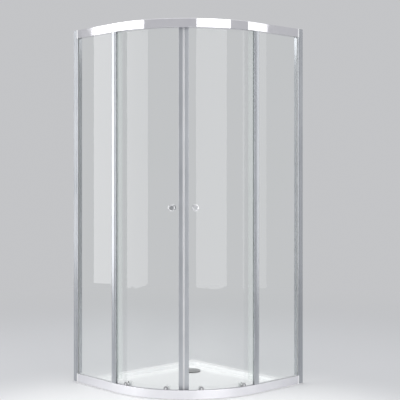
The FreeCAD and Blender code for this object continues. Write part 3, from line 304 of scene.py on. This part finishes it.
def rail_material(name, node):
    """Chrome on the outside of a rail, and the extrusion's plain metal in its slot and trough."""
    tree = material_tree(name)
    inside = inside_rail(tree, node)
    haze = tree.noise(**HAZE)
    chrome = tree.mix_colours(tree.ramp(haze, 0.0, 1.0), CHROME_DARK, CHROME_LIGHT)
    tint = tree.mix_colours(inside, chrome, RAIL_INSIDE_COLOUR)
    polish = tree.ramp(haze, *RAIL_POLISH)
    rough = tree.maths("ADD", polish, tree.maths("MULTIPLY", inside, RAIL_INSIDE_ROUGHNESS))
    metal = tree.maths("SUBTRACT", 1.0, tree.maths("MULTIPLY", inside, 1.0 - RAIL_INSIDE_METAL))
    normal = tree.bump(tree.noise(**RIPPLE), RIPPLE_DEPTH)
    return tree.surface(
        tree.add("BsdfPrincipled", Base_Color=tint, Metallic=metal, Roughness=rough, Normal=normal))


def inside_dish(tree, node):
    """1 in the dish of a knob's end face, 0 on the rest of the knob."""
    low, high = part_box(node)
    middle = (low + high) / 2
    outward = (middle - CURVE_CENTRE) * IN_PLAN
    if "inner" in node:
        outward = -outward
    outward.normalize()
    centre = CURVE_CENTRE * IN_PLAN + Vector((0, 0, middle.z))
    along = tree.vector_maths("SUBTRACT", tree.spot(), centre)
    radius = tree.vector_maths("LENGTH", tree.vector_maths("CROSS_PRODUCT", along, outward))
    normal = tree.add("NewGeometry").outputs["Normal"]
    facing = tree.vector_maths("DOT_PRODUCT", normal, outward)
    near_axis = tree.ramp(radius, 1.0, 0.0, KNOB_DISH - KNOB_DISH_EDGE, KNOB_DISH)
    return tree.maths("MULTIPLY", near_axis, tree.ramp(facing, 0.0, 1.0, *KNOB_END_FACE))


def knob_material(name, node):
    """Polished knob with a satin dish in its end face."""
    tree = material_tree(name)
    dish = inside_dish(tree, node)
    ring_roughness = tree.ramp(tree.noise(**KNOB_HAZE), *KNOB_RING_ROUGHNESS)
    dish_roughness = tree.ramp(tree.noise(**BRUSHED), *KNOB_DISH_ROUGHNESS)
    rough = tree.mix_numbers(dish, ring_roughness, dish_roughness)
    tint = tree.mix_colours(dish, KNOB_RING_COLOUR, KNOB_DISH_COLOUR)
    return tree.surface(tree.add("BsdfPrincipled", Base_Color=tint, Metallic=1.0, Roughness=rough))


def extruded_material(name, dark, light, rough):
    """Bright metal with fine draw lines along Z. rough is its lowest and highest roughness."""
    tree = material_tree(name)
    lines = tree.noise(**DRAW_LINES)
    cloud = tree.noise(**METAL_CLOUD)
    tint = tree.mix_colours(tree.ramp(cloud, 0.0, 1.0), dark, light)
    total = tree.maths("ADD", tree.ramp(lines, *rough), tree.ramp(cloud, 0.0, CLOUD_ROUGHNESS))
    normal = tree.bump(lines, DRAW_DEPTH)
    return tree.surface(
        tree.add("BsdfPrincipled", Base_Color=tint, Metallic=1.0, Roughness=total, Normal=normal))


def glass_material(name):
    """Clear toughened glass: faint green, a little uneven, with the lamps' light let through."""
    tree = material_tree(name)
    tint = tree.mix_colours(tree.ramp(tree.noise(**GLASS_CLOUD), 0.0, 1.0), GLASS_TINT, GLASS_CLOUD_TINT)
    glass = tree.add(
        "BsdfPrincipled", Base_Color=tint, Roughness=0.0, Transmission_Weight=1.0, IOR=GLASS_IOR)
    opening = tree.add("BsdfTransparent", Color=GLASS_TINT)
    path = tree.add("LightPath")
    passing = tree.largest(path.outputs["Is Shadow Ray"], path.outputs["Is Diffuse Ray"])
    return tree.surface(tree.mix_shaders(passing, glass, opening))


def moulded_material(name, dark, light, rough, coat=0.0, grain=180.0, depth=0.00004):
    """Moulded plastic or rubber with a fine grain, of so many cells in a metre and so deep."""
    tree = material_tree(name)
    fine = tree.noise(grain, PLASTIC_DETAIL)
    tint = tree.mix_colours(tree.ramp(tree.noise(**PLASTIC_CLOUD), 0.0, 1.0), dark, light)
    sheen = tree.ramp(fine, rough - GRAIN_ROUGHNESS, rough + GRAIN_ROUGHNESS)
    normal = tree.bump(fine, depth)
    return tree.surface(tree.add(
        "BsdfPrincipled", Base_Color=tint, Roughness=sheen, Normal=normal,
        Coat_Weight=coat, Coat_Roughness=COAT_ROUGHNESS))


def clear_strip_material(name, tint, clear):
    """Soft clear strip that lets the share clear of the light straight through."""
    tree = material_tree(name)
    streaks = tree.noise(**STREAKS)
    rough = tree.ramp(streaks, *STRIP_ROUGHNESS)
    normal = tree.bump(streaks, STREAK_DEPTH)
    body = tree.add("BsdfPrincipled", Base_Color=tint, Roughness=rough, IOR=STRIP_IOR, Normal=normal)
    opening = tree.add("BsdfTransparent", Color=STRIP_OPENING)
    return tree.surface(tree.mix_shaders(clear, body, opening))


def slot_materials():
    """The finish of each material slot of the record."""
    return {
        "tray": moulded_material(
            "acrylic_white", grey(0.86, blue=0.008), grey(0.89, blue=0.008),
            rough=0.16, coat=0.35, grain=90.0, depth=0.00002),
        "chrome": chrome_material("chrome_waste", CHROME_DARK, CHROME_LIGHT, smear=0.05),
        "knob_chrome": chrome_material(
            "chrome_knob", (0.84, 0.84, 0.85, 1), (0.9, 0.9, 0.91, 1), smear=0.04),
        "aluminium": extruded_material(
            "anodised_bright", (0.44, 0.455, 0.48, 1), (0.49, 0.505, 0.53, 1), rough=(0.2, 0.27)),
        "steel": extruded_material("stainless", grey(0.56), grey(0.64), rough=(0.2, 0.36)),
        "spring_steel": extruded_material("spring_wire", grey(0.5), grey(0.58), rough=(0.2, 0.34)),
        "glass": glass_material("glass_flat"),
        "door_glass": glass_material("glass_curved"),
        "clear_pvc": clear_strip_material("strip_clear", (0.8, 0.83, 0.82, 1), clear=0.9),
        "magnet": moulded_material("strip_magnet", grey(0.6, blue=0.01), grey(0.66, blue=0.01), rough=0.3),
        "gasket": moulded_material("strip_grey", grey(0.4), grey(0.46), rough=0.5),
        "grey_plastic": moulded_material(
            "plastic_pale", grey(0.74, blue=0.01), grey(0.79, blue=0.01), rough=0.35),
        "nylon": moulded_material("nylon_grey", grey(0.3, blue=0.01), grey(0.36, blue=0.01), rough=0.4),
        "rubber": moulded_material("rubber_black", grey(0.02), grey(0.035), rough=0.6),
    }


def node_materials():
    """The finish of each node that doesn't take its slot's."""
    finishes = {
        "waste_cover": extruded_material("waste_cover_steel", grey(0.4), grey(0.46), rough=(0.22, 0.34)),
    }
    for rail in ("bottom_rail", "top_rail"):
        finishes[rail] = rail_material("chrome_" + rail, rail)
    for side in SIDES:
        finishes["door_edge_profile_" + side] = extruded_material(
            "anodised_satin_" + side, (0.46, 0.475, 0.5, 1), (0.51, 0.525, 0.55, 1), rough=(0.32, 0.4))
        for knob in ("knob_outer_", "knob_inner_"):
            finishes[knob + side] = knob_material("chrome_" + knob + side, knob + side)
    return finishes


def dress_nodes(by_slot, by_node):
    """Gives every node of the frame its own finish, or else that of its material slot."""
    slots = {part["node"]: part["material_slot"] for part in frame["record"]["subparts"]}
    for name, node in nodes.items():
        node.data.materials.clear()
        node.data.materials.append(by_node.get(name, by_slot[slots[name]]))


# ---------------------------------------------------------------- release springs
SPRING_WIRE = 0.00035      # radius of the wire
SPRING_TURNS = 7
SPRING_CLOSED = 0.9        # turns that lie flat at each end
SPRING_STEPS = 28          # rings in a turn
SPRING_SIDES = 8


def wire_ring(mesh, centre, radius, turn, z):
    """The points round the wire at a place of the spring, turn whole turns from its start."""
    outward = Vector((math.cos(2 * math.pi * turn), math.sin(2 * math.pi * turn), 0))
    ring = []
    for side in range(SPRING_SIDES):
        angle = 2 * math.pi * side / SPRING_SIDES
        spot = centre + outward * (radius + SPRING_WIRE * math.cos(angle))
        ring.append(mesh.verts.new((spot.x, spot.y, z + SPRING_WIRE * math.sin(angle))))
    return ring


def spring_mesh(centre, radius, low_z, high_z):
    """Round wire wound into a spring with closed ends."""
    mesh = bmesh.new()
    rings = []
    for step in range(SPRING_TURNS * SPRING_STEPS + 1):
        turn = step / SPRING_STEPS
        share = (turn - SPRING_CLOSED) / (SPRING_TURNS - 2 * SPRING_CLOSED)
        climb = max(0.0, min(1.0, share))
        z = low_z + SPRING_WIRE + climb * (high_z - low_z - 2 * SPRING_WIRE)
        rings.append(wire_ring(mesh, centre, radius, turn, z))
    for first, second in zip(rings, rings[1:]):
        join_rings(mesh, first, second)
    for face in mesh.faces:
        face.smooth = True
    mesh.faces.new(rings[0])
    mesh.faces.new(rings[-1])
    return mesh


def make_springs(material):
    """A coiled spring at each bottom roller, under its shelf, hung on its door's body in place of the CAD
    part.
    """
    for side in SIDES:
        for place in PLACES:
            node = f"release_spring_{place}_{side}"
            low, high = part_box(node)
            middle = (low + high) / 2
            radius = (high.x - low.x) / 2 - SPRING_WIRE
            mesh = spring_mesh(middle, radius, low.z, high.z)
            spring = mesh_object(f"coil_{place}_{side}", mesh, material)
            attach(spring, f"door_{side}")
            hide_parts(node)
            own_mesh(spring)


# ---------------------------------------------------------------- floor
FLOOR_RADIUS = 14.0
FLOOR_GAP = 0.0025         # between the rail's outer face and the floor's edge
FLOOR_DROP = 0.0045        # floor below the tray's rim
RECESS_FLOOR = -0.0005     # bottom of the recess that the tray stands in
RECESS_ARC_STEPS = 48
FLOOR_SHARES = (0.0, 0.02, 0.1, 0.3, 1.0)    # rings between the recess's edge and the floor's end
# Painted light: the floor's colour is this pale only in a pool in front of the doors, and darkens to the
# backdrop's grey between the start and stop distances from its centre.
PAINTED_LIGHT_FLOOR_COLOUR = (0.84, 0.84, 0.845, 1.0)
FLOOR_ROUGHNESS = 0.55
BACKDROP = (0.55, 0.555, 0.57, 1.0)
PAINTED_LIGHT_CENTRE = (0.75, -0.75, 0.0)       # centre of the pool of light painted into the floor's colour in front of the doors
PAINTED_LIGHT_START = 0.6
PAINTED_LIGHT_STOP = 1.7
FADE_START = 1.1
FADE_STOP = 4.5


def seen_ray(tree):
    """1 for rays that see the backdrop: from the camera, off gloss or through glass."""
    path = tree.add("LightPath").outputs
    return tree.largest(path["Is Camera Ray"], path["Is Glossy Ray"], path["Is Transmission Ray"])


def floor_material():
    """Floor with a pool of light painted into its colour in front of the doors, darkening to the backdrop's
    grey round it, and fading into the backdrop far from the object.
    """
    tree = material_tree("studio_floor")
    # painted pool of light: the floor's colour is palest near a point in front of the doors and darker away
    # from it
    painted_light = tree.away_from(PAINTED_LIGHT_CENTRE, PAINTED_LIGHT_START, PAINTED_LIGHT_STOP)
    colour = tree.mix_colours(painted_light, PAINTED_LIGHT_FLOOR_COLOUR, BACKDROP)
    body = tree.add("BsdfPrincipled", Base_Color=colour, Roughness=FLOOR_ROUGHNESS)
    glow = tree.add("Emission", Color=BACKDROP)
    fade = tree.away_from((0, 0, 0), FADE_START, FADE_STOP)
    return tree.surface(tree.mix_shaders(tree.maths("MULTIPLY", fade, seen_ray(tree)), body, glow))


def recess_outline():
    """The tray's plan shape with a gap round it: two sides, a quarter round and two more sides."""
    half = HALF_SIDE + FLOOR_GAP
    radius = CURVE_RADIUS + FLOOR_GAP
    outline = [Vector((-half, half)), Vector((-half, -half))]
    for step in range(RECESS_ARC_STEPS + 1):
        angle = -math.pi / 2 * (1 - step / RECESS_ARC_STEPS)
        outward = Vector((math.cos(angle), math.sin(angle)))
        outline.append(CURVE_CENTRE.to_2d() + radius * outward)
    outline.append(Vector((half, half)))
    return outline


def make_floor():
    """Disc round the tray, with a recess in which the tray stands."""
    outline = recess_outline()
    mesh = bmesh.new()
    rings = [[mesh.verts.new((point.x, point.y, RECESS_FLOOR)) for point in outline]]
    mesh.faces.new(rings[0])
    for share in FLOOR_SHARES:
        spots = [point.lerp(point.normalized() * FLOOR_RADIUS, share) for point in outline]
        rings.append([mesh.verts.new((spot.x, spot.y, RIM_Z - FLOOR_DROP)) for spot in spots])
    for first, second in zip(rings, rings[1:]):
        join_rings(mesh, first, second)
    mesh_object("studio_floor", mesh, floor_material())


# ---------------------------------------------------------------- light
WORLD_COLOUR = (0.97, 0.98, 1.0, 1.0)
WORLD_LIGHT = 0.7
SOFTBOX_DISTANCE = 4.8
SOFTBOX_LOW = 0.05
SOFTBOX_HIGH = 3.6


def make_world():
    """Even soft light, with the backdrop's colour where it is seen."""
    world = bpy.data.worlds.new("studio")
    bpy.context.scene.world = world
    tree = Tree(world, "OutputWorld")
    light = tree.add("Background", Color=WORLD_COLOUR, Strength=WORLD_LIGHT)
    seen = tree.add("Background", Color=BACKDROP)
    tree.surface(tree.mix_shaders(seen_ray(tree), light, seen))


def area_lamp(name, place, turn, width, height, radiance):
    """Rectangular lamp of even radiance, seen only in reflections and by what it lights."""
    data = bpy.data.lights.new(name, "AREA")
    data.shape = "RECTANGLE"
    data.size = width
    data.size_y = height
    data.energy = radiance * math.pi * width * height
    lamp = bpy.data.objects.new(name, data)
    lamp.location = place
    lamp.rotation_euler = turn
    lamp.visible_camera = False
    lamp.visible_transmission = False
    bpy.context.scene.collection.objects.link(lamp)


def softbox(name, azimuth, width, radiance):
    """Upright lamp that faces the object. Azimuth 0 is at -Y, 90 at +X."""
    turn = math.radians(azimuth)
    middle = (SOFTBOX_LOW + SOFTBOX_HIGH) / 2
    place = (SOFTBOX_DISTANCE * math.sin(turn), -SOFTBOX_DISTANCE * math.cos(turn), middle)
    area_lamp(name, place, (math.pi / 2, 0, turn), width, SOFTBOX_HIGH - SOFTBOX_LOW, radiance)


def overhead(name, height, size, radiance):
    """Square lamp over the object that faces down."""
    area_lamp(name, (0, 0, height), (0, 0, 0), size, size, radiance)


# ---------------------------------------------------------------- the scene
materials = slot_materials()
make_camera()
dress_nodes(materials, node_materials())
make_springs(materials["spring_steel"])
make_floor()
make_world()
softbox("window_left", azimuth=-27.8, width=4.23, radiance=2.1)
softbox("window_right", azimuth=76.5, width=3.4, radiance=2.1)
softbox("fill_right", azimuth=126.6, width=1.27, radiance=0.95)
overhead("ceiling", height=5.0, size=5.0, radiance=1.3)
bpy.context.scene.view_settings.view_transform = "Standard"
